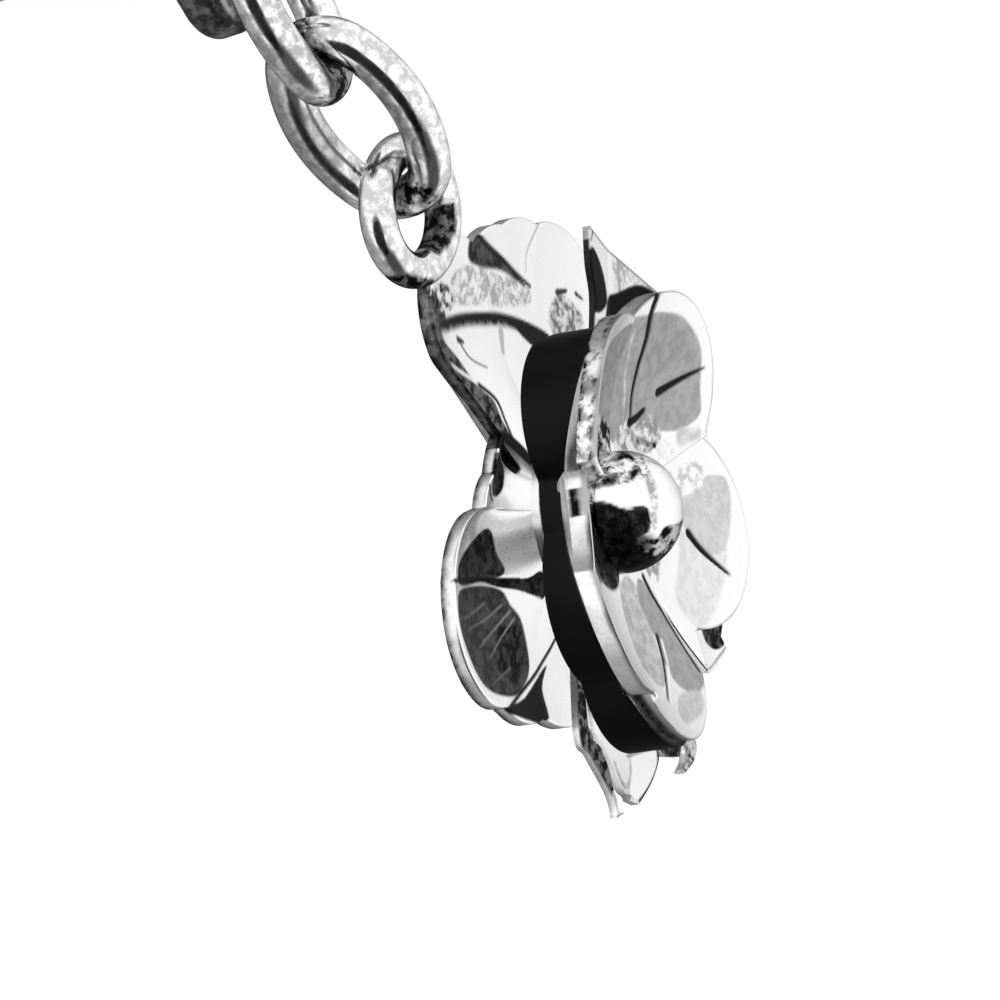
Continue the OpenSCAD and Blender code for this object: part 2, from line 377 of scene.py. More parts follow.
class Workshop:
    """Makes meshes of bmesh operators and puts them in the flower or on the hanger."""

    def __init__(self, flower: Matrix) -> None:
        """Keeps the place of the hanging flower.

        Args:
            flower: The flower's own frame, in millimetres.
        """
        self.flower = flower
        self.materials: dict[SilverFinish, bpy.types.Material] = {}

    @staticmethod
    def rows(bm: BMesh) -> Array:
        """Gives the places of all vertices as rows."""
        return np.array([v.co for v in bm.verts], dtype=float)

    @staticmethod
    def move_to(bm: BMesh, places: Array) -> None:
        """Moves every vertex to its own row."""
        for vert, place in zip(bm.verts, places):
            vert.co = Vector(place)

    @staticmethod
    def draw(bm: BMesh, marks: Sequence[Mark], x: Array, z: Array, dim: Any = 1.0) -> Array:
        """Draws marks on a mesh, which gets a tone and a strength of spots for each vertex.

        Args:
            bm: The mesh.
            marks: The marks, in order.
            x: The vertices' places across the marks' plane.
            z: Their heights there.
            dim: What the brightness is multiplied by, for all vertices or for each.

        Returns:
            How deep the marks are cut in at each vertex.
        """
        bright, spots, cut = np.ones_like(x), np.zeros_like(x), np.zeros_like(x)
        for mark in marks:
            share = mark.mask(x, z)
            bright += (mark.tone - bright) * share
            spots += (mark.speck - spots) * share
            cut += mark.depth * share
        layers = bm.verts.layers.float
        tone, speck = (layers.get(name) or layers.new(name) for name in (TONE, SPECK))
        for vert, value, spot in zip(bm.verts, bright * dim, spots):
            vert[tone], vert[speck] = value, spot
        return cut

    def paint(self, bm: BMesh, marks: Sequence[Mark] = (), up: int = 1, dim: float = 1.0) -> None:
        """Draws marks on a finished shape, across its X axis.

        Args:
            bm: The shape.
            marks: The marks, in order.
            up: The number of the axis that is up in the marks' plane.
            dim: What the brightness is multiplied by.
        """
        places = self.rows(bm)
        self.draw(bm, marks, places[:, 0], places[:, up], dim)

    @staticmethod
    def thicken(bm: BMesh, thick: float, walls: Sequence[Wall]) -> None:
        """Gives an open sheet its thickness and its cut edge the walls' brightness.

        Args:
            bm: The sheet, which faces -Y.
            thick: Its thickness.
            walls: How bright its cut edge is.
        """
        tone, speck = bm.verts.layers.float[TONE], bm.verts.layers.float[SPECK]
        steps = len(walls[0].tones)
        region: list[Any] = bm.faces[:]
        for step in range(steps):
            region = bmesh.ops.extrude_face_region(bm, geom=region, use_keep_orig=step == 0)["geom"]
            verts, back = only(BMVert, region), set(only(BMFace, region))
            bmesh.ops.translate(bm, verts=verts, vec=(0.0, thick / steps, 0.0))
            for vert in verts:
                angle = math.degrees(math.atan2(vert.co.x, vert.co.z)) % 360.0
                wall = [w for w in walls if w.start <= angle <= w.stop][-1]
                vert[tone], vert[speck] = wall.tones[step], wall.speck
                if back.issuperset(vert.link_faces):
                    vert[tone], vert[speck] = BACK_TONE, BACK_SPECK
        bmesh.ops.recalc_face_normals(bm, faces=bm.faces[:])

    def sheet(self, cut: SheetCut) -> BMesh:
        """Forms a fan-shaped sheet in the flower's frame, with its tones.

        Args:
            cut: How it is cut.

        Returns:
            A closed bmesh with a tone and a strength of spots for each vertex.
        """
        bm = bmesh.new()
        bmesh.ops.create_grid(bm, x_segments=cut.columns, y_segments=cut.rows, size=0.5)
        flat = self.rows(bm)
        turns = cut.stop - cut.start
        rim = cut.reach(cut.start + turns * (flat[:, 0] + 0.5))
        dist, sink = cut.spread(flat[:, 1] + 0.5, cut.rows, rim - cut.inner, 0.0, cut.shoulder)
        dist = dist + cut.inner
        arc = np.radians(turns) * dist
        along, side_sink = cut.spread(flat[:, 0] + 0.5, cut.columns, arc, cut.sides, cut.sides)
        angle = cut.start + np.degrees(along / dist)
        sink = np.maximum(sink, side_sink)
        dist = np.minimum(dist, cut.reach(angle))
        shown = np.radians(angle + cut.swirl * np.maximum(0.0, SWIRL_R - dist))
        x, z = dist * np.sin(shown), dist * np.cos(shown)
        # The outline's edge is painted darker: a painted dark reflection along the rim.
        begins, darkest = (cut.reach(angle) - away for away in RIM_DARK_REFLECTION_BAND)
        dim = 1.0 - (1.0 - cut.edge) * ease(dist, begins, darkest)
        cuts = self.draw(bm, cut.marks, x, z, dim)
        depth = cut.front(angle, dist) - sink - cuts
        self.move_to(bm, np.stack([x, -depth, z], axis=1))
        if turns >= 360.0:
            bmesh.ops.remove_doubles(bm, verts=bm.verts[:], dist=WELD)
        self.thicken(bm, cut.thick, cut.walls)
        return bm

    @staticmethod
    def turned(profile: Sequence[Place], steps: int = 96) -> BMesh:
        """Spins a profile of (radius, height) points about the Z axis into a closed body."""
        bm = bmesh.new()
        spots = [bm.verts.new((radius, 0.0, height)) for radius, height in profile]
        edges = [bm.edges.new(pair) for pair in zip(spots, spots[1:])]
        bmesh.ops.spin(
            bm, geom=spots + edges, cent=(0, 0, 0), axis=(0, 0, 1), angle=math.tau, steps=steps,
            use_merge=True, use_duplicate=False,
        )
        close_up(bm)
        return bm

    @staticmethod
    def ring_of_wire(wire_r: float, arcs: Sequence[tuple[Place, float, int]], start: Matrix) -> BMesh:
        """Bends a round wire through arcs in the XY plane until it closes as a ring.

        Args:
            wire_r: The wire's radius.
            arcs: For each arc its centre, its sweep in radians and its steps.
            start: Where the wire's first section stands.

        Returns:
            The bent wire, whose last section meets the first.
        """
        bm = bmesh.new()
        made = bmesh.ops.create_circle(bm, cap_ends=False, segments=32, radius=wire_r, matrix=start)
        geom: list[Any] = list(made["verts"]) + list({e for v in made["verts"] for e in v.link_edges})
        for centre, sweep, steps in arcs:
            spun = bmesh.ops.spin(
                bm, geom=geom, cent=(*centre, 0.0), axis=(0, 0, 1), angle=sweep, steps=steps,
                use_merge=False, use_duplicate=False,
            )
            geom = [g for g in spun["geom_last"] if not isinstance(g, BMFace)]
        close_up(bm, wire_r * 0.02)
        return bm

    @staticmethod
    def wire_through(wire_r: float, points: Sequence[Vector]) -> BMesh:
        """Runs a round wire straight from point to point, with mitred bends and flat ends."""
        bm = bmesh.new()
        ways = [(b - a).normalized() for a, b in zip(points, points[1:])]
        turn = ways[0].to_track_quat("Z", "Y").to_matrix().to_4x4()
        made = bmesh.ops.create_circle(
            bm, cap_ends=True, segments=20, radius=wire_r, matrix=Matrix.Translation(points[0]) @ turn
        )
        loop = list({e for v in made["verts"] for e in v.link_edges})
        for k in range(1, len(points)):
            grown = bmesh.ops.extrude_edge_only(bm, edges=loop)["geom"]
            verts, loop = only(BMVert, grown), only(BMEdge, grown)
            bmesh.ops.translate(bm, verts=verts, vec=points[k] - points[k - 1])
            if k < len(ways):
                bend = ways[k - 1].rotation_difference(ways[k]).to_matrix().to_4x4()
                bmesh.ops.transform(
                    bm, matrix=bend, verts=verts, space=Matrix.Translation(-points[k])
                )
        bmesh.ops.contextual_create(bm, geom=loop)
        bmesh.ops.recalc_face_normals(bm, faces=bm.faces[:])
        return bm

    def keep(
        self, bm: BMesh, name: str, finish: SilverFinish, body: Body, place: Matrix, *nodes: str
    ) -> None:
        """Turns a finished bmesh into a piece of the earring, an object at the origin.

        Args:
            bm: The shape in millimetres; it is used up.
            name: The piece's name.
            finish: Its finish.
            body: The body that it moves with.
            place: Its place in the earring's frame, in millimetres.
            *nodes: The CAD nodes that it stands for.
        """
        if TONE not in bm.verts.layers.float.keys():
            self.paint(bm)
        bm.transform(Matrix.Scale(MM, 4) @ place)
        mesh = bpy.data.meshes.new(name)
        bm.to_mesh(mesh)
        bm.free()
        mesh.shade_smooth()
        mesh.set_sharp_from_angle(angle=math.radians(CRISP))
        if finish not in self.materials:
            self.materials[finish] = finish.make()
        mesh.materials.append(self.materials[finish])
        piece = bpy.data.objects.new(name, mesh)
        piece.visible_glossy = piece.visible_shadow = finish.mirrored
        show(piece)
        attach(piece, body.value)
        if nodes:
            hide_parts(*nodes)
        log.info("%s: %d faces on %s", name, len(mesh.polygons), body.value)


# Finishes


class Sock:
    """One shader socket that can be added, multiplied and so on like a number."""

    def __init__(self, bench: "Bench", socket: bpy.types.NodeSocket) -> None:
        """Wraps a socket of a bench's node tree."""
        self.bench = bench
        self.socket = socket

    def _math(self, operation: str, *values: Any) -> "Sock":
        """Adds a Math node that works on values in order."""
        return self.bench.node("ShaderNodeMath", {"operation": operation}, *values)

    def __add__(self, other: Any) -> "Sock":
        """Adds."""
        return self._math("ADD", self, other)

    __radd__ = __add__

    def __sub__(self, other: Any) -> "Sock":
        """Takes away."""
        return self._math("SUBTRACT", self, other)

    def __rsub__(self, other: Any) -> "Sock":
        """Is taken away from a number."""
        return self._math("SUBTRACT", other, self)

    def __mul__(self, other: Any) -> "Sock":
        """Multiplies."""
        return self._math("MULTIPLY", self, other)

    __rmul__ = __mul__

    def rise(self, low: float, high: float) -> "Sock":
        """Gives a smooth share from 0 at low to 1 at high."""
        settings = {"interpolation_type": "SMOOTHSTEP"}
        return self.bench.node("ShaderNodeMapRange", settings, self, low, high, 0.0, 1.0)


class Bench:
    """Builds one node tree."""

    def __init__(self, tree: bpy.types.NodeTree) -> None:
        """Empties the tree and keeps it."""
        self.tree = tree
        tree.nodes.clear()

    def node(
        self, kind: str, settings: dict[str, Any] | None = None, *values: Any, out: str | int = 0,
        **named: Any,
    ) -> Sock:
        """Adds one node.

        Args:
            kind: The node's type.
            settings: Its own settings, made first.
            *values: Values or links of its sockets in order; None skips one.
            out: The output to give back.
            **named: Values or links of sockets by name, with _ for a space.

        Returns:
            The chosen output.
        """
        node = self.tree.nodes.new(kind)
        for key, value in (settings or {}).items():
            setattr(node, key, value)
        pairs = [(node.inputs[i], v) for i, v in enumerate(values) if v is not None]
        pairs += [(node.inputs[k.replace("_", " ")], v) for k, v in named.items()]
        for socket, value in pairs:
            if isinstance(value, Sock):
                self.tree.links.new(value.socket, socket)
            else:
                socket.default_value = value
        return Sock(self, node.outputs[out] if len(node.outputs) else None)

    def blend(self, share: Sock | float, low: Any, high: Any) -> Sock:
        """Mixes two colours by a share."""
        mixed = self.tree.nodes.new("ShaderNodeMix")
        mixed.data_type = "RGBA"
        for index, value in ((0, share), (6, low), (7, high)):
            if isinstance(value, Sock):
                self.tree.links.new(value.socket, mixed.inputs[index])
            else:
                mixed.inputs[index].default_value = value
        return Sock(self, mixed.outputs[2])

    def noise(self, scale: float, detail: float = 3.0, **settings: Any) -> Sock:
        """Gives a noise on the object's own coordinates, of so many spots a millimetre."""
        place = self.node("ShaderNodeTexCoord", out="Object")
        return self.node(
            "ShaderNodeTexNoise", None, Vector=place, Scale=scale / MM, Detail=detail, **settings
        )


def grey(value: float) -> tuple[float, float, float, float]:
    """Gives a neutral colour."""
    return (value, value, value, 1.0)


@dataclass(frozen=True)
class SilverFinish:
    """One way to finish silver.

    Attributes:
        name: The material's name.
        slot: The record's finish that it stands for; it is not used.
        bright: How much light the polished metal gives back.
        black: How much light its darkest tone gives back, for its oxide and for painted shade and dark
            reflections.
        glance: How bright it stays where it is seen at a glancing angle.
        smooth: Its roughness where it is polished.
        dull: Its roughness where its tone is darkest, for oxide and painted shade alike.
        wave: Depth of the hand-worked waves, in millimetres.
        wave_scale: How many waves there are to a millimetre.
        pit: Strength of the fine pits and scratches.
        pit_depth: Their depth, in millimetres.
        cloud: How unevenly the oxide lies.
        spot: How far the spots at full strength change its brightness.
        mirrored: Whether the other pieces mirror its pieces and lie in their shadow.
    """

    name: str
    slot: Slot
    bright: float = 0.95
    black: float = 0.008
    glance: float = 0.55
    smooth: float = 0.1
    dull: float = 0.42
    wave: float = 0.02
    wave_scale: float = 0.5
    pit: float = 0.15
    pit_depth: float = 0.01
    cloud: float = 0.12
    spot: float = 1.6
    mirrored: bool = True

    def make(self) -> bpy.types.Material:
        """Builds the material.

        Returns:
            A metal whose brightness follows the pieces' tone, broken by spots, with waves and pits.
        """
        material = bpy.data.materials.new(self.name)
        material.use_nodes = True
        bench = Bench(material.node_tree)
        tone = bench.node("ShaderNodeAttribute", {"attribute_name": TONE}, out="Fac")
        speck = bench.node("ShaderNodeAttribute", {"attribute_name": SPECK}, out="Fac")
        clouds = bench.noise(1.1, 4.0)
        grain = bench.noise(7.0, 5.0)
        spots = bench.noise(2.3, 8.0, Distortion=0.25, Roughness=0.62).rise(0.4, 0.6)
        uneven = (clouds - 0.5) * self.cloud + (grain - 0.5) * (self.cloud * 0.8)
        shade = tone * (uneven + 1.0) + (spots - 0.5) * speck * self.spot
        shade = bench.node("ShaderNodeMath", {"operation": "MULTIPLY", "use_clamp": True}, shade, 1.0)
        colour = bench.blend(shade, grey(self.black), grey(self.bright))
        rough = shade * (self.smooth - self.dull) + self.dull + (grain - 0.5) * 0.08
        waves = bench.noise(self.wave_scale, 2.0)
        normal = bench.node("ShaderNodeBump", None, Strength=1.0, Distance=self.wave * MM, Height=waves)
        normal = bench.node(
            "ShaderNodeBump", None, Strength=self.pit, Distance=self.pit_depth * MM, Height=grain,
            Normal=normal,
        )
        shader = bench.node(
            "ShaderNodeBsdfPrincipled", None, Base_Color=colour, Metallic=1.0,
            Specular_Tint=grey(self.glance), Roughness=rough, Normal=normal,
        )
        bench.node("ShaderNodeOutputMaterial", None, shader)
        return material


WIRE = SilverFinish("polished_wire", Slot.POLISHED, wave=0.03, wave_scale=0.8)
STUD = SilverFinish("stud_silver", Slot.POLISHED, smooth=0.2)
BEAD = SilverFinish("bead_silver", Slot.POLISHED, smooth=0.08, wave=0.04, wave_scale=0.7)
BACK = SilverFinish("petal_silver", Slot.PETAL, smooth=0.28, wave_scale=0.4)
LEAF = SilverFinish("leaf_silver", Slot.PETAL, smooth=0.28, mirrored=False)
ENGRAVED = SilverFinish(
    "engraved_silver", Slot.ENGRAVED, smooth=0.2, wave=0.015, cloud=0.1, mirrored=False
)
# The cup's finish, held dark: for its oxide and for the painted shade of the recess between the layers.
BLACKENED_AND_SHADED = SilverFinish(
    "blackened_silver", Slot.BLACKENED_AND_SHADED, bright=0.5, dull=0.5, mirrored=False
)


# The earring's parts


@dataclass
class Chain:
    """The stud with its staple, and the two oval links."""

    button_wid: float = 3.6
    button_h: float = 8.6
    button_t: float = 1.6
    button_round: float = 0.5
    post_r: float = 0.45
    post_len: float = 10.0
    post_tip: float = 0.25
    post_root: float = 0.02
    staple_r: float = 0.5
    staple_root: float = 0.3
    wire_r: float = 0.75
    link_len: float = 8.3
    link_wid: float = 5.6
    link_end_r: float = 1.6
    hang_gap: float = 0.13
    button_gap: float = 0.1
    upper_turn: float = -7.0
    lower_lean: float = 3.0
    upper_top: float = -0.3
    ring_wire_r: float = 0.65
    ring_mid_r: float = 2.1
    ring_turn: float = 8.0
    # The button is painted dark grey with lighter streaks: painted reflections on its polished face.
    button_painted_reflections: tuple[Mark, ...] = (
        Patch(((0, 7.0), (90, 4.0), (180, 7.0), (270, 4.0)), 0.13, 0.1, 0.1),
        Stroke(((196, 4.4), (215, 2.6), (260, 1.6)), 0.34, 0.3, 0.15, half=0.12),
        Stroke(((180, 4.0), (180, 2.2), (240, 0.8)), 0.26, 0.3, 0.15, half=0.1),
        Stroke(((163, 4.1), (152, 2.6), (120, 1.2)), 0.4, 0.3, 0.15, half=0.14),
        Stroke(((0, 3.8), (20, 2.4), (70, 1.2)), 0.34, 0.3, 0.15, half=0.14),
        Stroke(((336, 3.8), (330, 2.0), (300, 1.2)), 0.28, 0.3, 0.15, half=0.12),
    )
    upper_marks: tuple[Mark, ...] = (
        Patch(((0, 5.5), (90, 4.5), (180, 5.5), (270, 4.5)), 0.8, 0.1, 0.3),
        # Painted shade at the link's bottom end, where the lower link hangs through it.
        Patch(((155, 4.6), (155, 2.9), (178, 2.5), (200, 2.9), (200, 4.6), (178, 5.0)), 0.12, 0.2, 0.4),
    )
    lower_marks: tuple[Mark, ...] = (
        Patch(((0, 5.5), (90, 4.5), (180, 5.5), (270, 4.5)), 0.85, 0.1, 0.25),
        # Darker painted reflections along the link's two sides.
        Patch(((38, 4.6), (45, 2.0), (90, 1.2), (135, 2.0), (142, 4.6), (90, 4.2)), 0.5, 0.35, 0.15),
        Patch(((225, 2.6), (250, 2.2), (290, 2.2), (318, 2.9), (325, 2.2), (270, 1.0), (220, 1.8)),
              0.5, 0.2, 0.2),
        # Painted shade at both ends, where the link hangs from the upper link and the ring hangs from it.
        Patch(((345, 3.5), (350, 2.4), (10, 2.4), (16, 3.4), (5, 4.4)), 0.12, 0.2, 0.4),
        Patch(((158, 4.6), (158, 3.0), (180, 2.6), (202, 3.0), (202, 4.6)), 0.36, 0.25, 0.5),
    )

    @property
    def pitch(self) -> float:
        """Distance between the wire middles at a link's two ends."""
        return self.link_len - 2 * self.wire_r

    @property
    def upper_y(self) -> float:
        """Where the upper link hangs, in front of the button."""
        swing = self.link_wid / 2 * math.sin(math.radians(abs(self.upper_turn)))
        return -self.button_t - self.wire_r - swing - self.button_gap

    @property
    def lower_top(self) -> float:
        """Height of the wire's middle at the lower link's top."""
        return self.upper_top - self.pitch + 2 * self.wire_r + self.hang_gap

    @property
    def hinge(self) -> tuple[float, float]:
        """Depth and height of the lower link's lowest wire, where the flower hangs."""
        lean = math.radians(self.lower_lean)
        return self.upper_y - self.pitch * math.sin(lean), self.lower_top - self.pitch * math.cos(lean)

    @property
    def ring_top(self) -> float:
        """Height of the wire's middle at the flower ring's top."""
        return self.hinge[1] + self.wire_r + self.ring_wire_r + self.hang_gap

    def link(self, shop: Workshop) -> BMesh:
        """Bends one oval link in the XY plane, its length along Y."""
        end_y = self.pitch / 2 - self.link_end_r
        half_w = self.link_wid / 2 - self.wire_r
        side_r = (half_w**2 + end_y**2 - self.link_end_r**2) / (2 * (half_w - self.link_end_r))
        side_x = side_r - half_w
        turn = math.asin(end_y / (side_r - self.link_end_r))
        start = moved(side_r * math.cos(turn) - side_x, -side_r * math.sin(turn))
        start = start @ Matrix.Rotation(-turn, 4, "Z") @ rotation(90, "X")
        arcs = [
            arc
            for way in (-1, 1)
            for arc in (
                ((way * side_x, 0.0), 2 * turn, 44), ((0.0, -way * end_y), math.pi - 2 * turn, 36)
            )
        ]
        return shop.ring_of_wire(self.wire_r, arcs, start)

    def button(self) -> BMesh:
        """Forms the button: a plate with round ends and rounded edges, its back at height 0."""
        bm = bmesh.new()
        half, straight = self.button_wid / 2, (self.button_h - self.button_wid) / 2
        bmesh.ops.create_circle(bm, cap_ends=True, segments=96, radius=half)
        for vert in bm.verts:
            vert.co.y += math.copysign(straight, vert.co.y)
        rise = bmesh.ops.extrude_face_region(bm, geom=bm.faces[:], use_keep_orig=True)["geom"]
        bmesh.ops.translate(bm, verts=only(BMVert, rise), vec=(0.0, 0.0, self.button_t))
        bmesh.ops.recalc_face_normals(bm, faces=bm.faces[:])
        rims = [e for e in bm.edges if abs(e.verts[0].co.z - e.verts[1].co.z) < WELD]
        bmesh.ops.bevel(
            bm, geom=rims, offset=self.button_round, segments=8, profile=0.5, affect="EDGES",
            material=-1,
        )
        return bm

    def stud(self, shop: Workshop) -> None:
        """Makes the stud's button, post and staple."""
        button = self.button()
        # The button gets its painted dark reflections.
        shop.paint(button, self.button_painted_reflections)
        shop.keep(button, "stud_button", STUD, Body.HANGER, rotation(90, "X"), "ear_stud")
        end, tip, root = -self.post_len, self.post_tip, self.post_root
        post = [(0.0, end), (self.post_r - tip, end), (self.post_r, end + tip), (self.post_r, root)]
        post.append((0.0, root))
        shop.keep(shop.turned(post, 32), "ear_post", STUD, Body.HANGER, rotation(90, "X"))
        mid_r = self.wire_r + self.staple_r + self.hang_gap
        bend = [
            Vector((0.0, self.upper_y - mid_r * math.cos(a), mid_r * math.sin(a)))
            for a in (math.pi / 2 * (1 - k / 10) for k in range(21))
        ]
        root = -self.button_t + self.staple_root
        legs = [Vector((0.0, root, mid_r)), *bend, Vector((0.0, root, -mid_r))]
        staple = shop.wire_through(self.staple_r, legs)
        shop.keep(staple, "stud_staple", WIRE, Body.HANGER, moved(z=self.upper_top))

    def build(self, shop: Workshop) -> None:
        """Makes the stud and the links."""
        self.stud(shop)
        hinge_y, hinge_z = self.hinge
        upper = (
            moved(0.0, self.upper_y, self.upper_top - self.pitch / 2)
            @ rotation(-self.upper_turn, "Z") @ rotation(90, "X")
        )
        lower = (
            moved(0.0, (self.upper_y + hinge_y) / 2, (self.lower_top + hinge_z) / 2)
            @ rotation(-self.lower_lean, "X") @ rotation(90, "Z") @ rotation(90, "X")
        )
        for name, place, marks in (
            ("upper", upper, self.upper_marks), ("lower", lower, self.lower_marks)
        ):
            link = self.link(shop)
            shop.paint(link, marks)
            shop.keep(link, f"{name}_oval_link", WIRE, Body.HANGER, place, f"{name}_link")


@dataclass(frozen=True)
class Petal:
    """One petal of the blossom or of the flower behind it.

    Attributes:
        name: The piece's name.
        start: Angle where it starts.
        stop: Angle where the next one starts.
        lifts: Lift of its rim at those two angles.
        tucks: How far it runs on before its start and past its end, in degrees.
        marks: What is drawn on it.
        walls: How bright its cut edge is.
    """

    name: str
    start: float
    stop: float
    lifts: tuple[float, float] = (0.0, 0.0)
    tucks: tuple[float, float] = (0.0, 0.0)
    marks: tuple[Mark, ...] = ()
    walls: tuple[Wall, ...] = (Wall(),)

    def lift(self, angle: Array) -> Array:
        """Gives the lift of its rim at each angle, told near its own range."""
        first, last = self.lifts
        return first + (last - first) * (angle - self.start) / (self.stop - self.start)


PETALS = (
    Petal(
        "blossom_petal_right", 32, 104, (2.0, 1.4), (7, 0),
        marks=(
            Patch(((34, 6.7), (48, 7.1), (54, 7.4), (66, 7.9), (79, 7.9), (89, 7.2), (96, 6.8), (95, 5.6),
                   (84, 4.3), (64, 3.2), (40, 2.5), (28, 3.0), (25, 6.0)), 0.41, 0.12, 0.05),
            Patch(((54, 7.2), (66, 7.6), (80, 7.5), (72, 6.2), (60, 5.2)), 0.37, 0.3, 0.05),
            Stroke(((42, 6.4), (44, 5.1), (49, 4.1), (52, 3.2)), 0.62, 0.15, 0.2, half=0.07),
            Patch(((36, 2.0), (44, 3.0), (64, 3.9), (76, 4.5), (90, 4.5), (88, 3.3), (72, 2.4), (60, 2.0)),
                  0.6, 0.15, 0.35),
            Patch(((72, 2.4), (90, 3.6), (92, 4.6), (104, 4.8), (108, 2.0)), 0.95, 0.2, 0.2),
            Stroke(((74, 3.3), (90, 4.0)), 0.12, 0.1, 0.3, half=0.14),
            Stroke(((98, 5.6), (101, 6.4)), 0.7, 0.3, 0.1, half=0.35),
            Stroke(((49, 7.7), (50, 7.1), (53, 6.4), (54, 5.4), (56, 4.4), (61, 3.6)), 0.01, depth=0.06,
                   half=0.2, thin=0.6),
            Stroke(((60, 3.5), (66, 3.9), (70, 4.4)), 0.01, depth=0.05, half=0.18),
            Stroke(((74, 5.4), (81, 6.7), (85, 7.7)), 0.01, depth=0.07, half=0.17, thin=0.7),
        ),
        walls=(Wall((0.9, 1.0, 0.8, 0.5), 0.2),),
    ),
    Petal(
        "blossom_petal_low_right", 104, 177, (0.9, 1.3), (7, 7),
        marks=(
            Patch(((130, 4.8), (136, 7.1), (150, 7.0), (162, 6.6), (173, 6.0), (172, 4.6), (150, 4.4)),
                  0.82, 0.25, 0.06),
            Patch(((122, 4.7), (116, 6.2), (118, 7.7), (127, 7.7), (138, 7.2), (142, 6.2), (139, 5.2)),
                  0.66, 0.08, 0.06),
            Patch(((108, 3.4), (110, 6.3), (118, 6.3), (120, 4.5)), 0.92, 0.2, 0.35),
            Patch(((104, 2.0), (112, 3.4), (150, 3.2), (184, 3.4), (184, 2.0)), 0.7, 0.3, 0.4),
            Stroke(((136, 5.1), (141, 5.8), (144, 6.6), (146, 7.3)), 0.01, depth=0.07, half=0.18, thin=0.6),
        ),
        walls=(Wall((1.0, 0.9, 0.8, 0.5), 0.2),),
    ),
    Petal(
        "blossom_petal_low", 177, 244, (0.8, 1.9), (7, 0),
        marks=(
            Patch(((230, 2.4), (206, 3.0), (206, 4.8), (213, 6.2), (226, 6.2), (246, 4.6)), 0.62, 0.15, 0.12),
            Patch(((200, 2.5), (187, 3.6), (185, 5.4), (184, 7.1), (192, 7.3), (200, 6.9), (206, 6.2),
                   (205, 4.8), (210, 3.2)), 0.42, 0.1, 0.05),
            Patch(((206, 6.8), (192, 7.3), (198, 7.8), (214, 7.8), (215, 7.3)), 0.68, 0.12, 0.06),
            Stroke(((200, 4.9), (205, 5.8), (213, 6.8), (218, 7.4)), 1.0, half=0.07, thin=0.0),
            Stroke(((190, 2.6), (188, 3.4), (186, 4.2), (185, 5.6), (185, 6.9)), 0.02, depth=0.04, half=0.12),
            Stroke(((202, 4.7), (207, 5.6), (214, 6.4), (219, 6.9)), 0.01, depth=0.06, half=0.14, thin=0.6),
        ),
        # The low petal's cut edge is painted near-black: painted shade along its edge.
        walls=(Wall((0.1, 0.02, 0.12, 0.0), 0.05),),
    ),
    Petal(
        "blossom_petal_low_left", 244, 313, (2.2, 2.5), (7, 3),
        marks=(
            # Painted shadow of the bead, near-black on the petal beside its lower left side.
            Patch(((320, 2.0), (310, 2.6), (290, 3.2), (268, 3.9), (246, 3.2), (238, 2.0)), 0.02, 0.2, 0.12),
            Stroke(((270, 4.4), (265, 5.8), (260, 7.0)), 0.55, 0.15, half=0.1),
        ),
        walls=(
            Wall((1.0, 1.0, 1.0, 0.95), 0.12),
            Wall((0.5, 0.05, 0.03, 0.6), 0.1, 304, 311),
        ),
    ),
    Petal(
        "blossom_petal_top", 313, 392, (3.4, 2.7), (0, 0),
        marks=(
            Patch(((8, 6.3), (20, 6.5), (32, 6.5), (40, 5.0), (36, 2.0), (16, 2.3), (8, 4.2)),
                  0.36, 0.12, 0.06),
            Patch(((312, 2.0), (318, 4.0), (342, 4.6), (10, 3.8), (38, 2.8), (36, 1.8)), 0.4, 0.3, 0.5),
        ),
        walls=(Wall((0.5, 1.0, 0.8, 0.2), 0.6),),
    ),
)


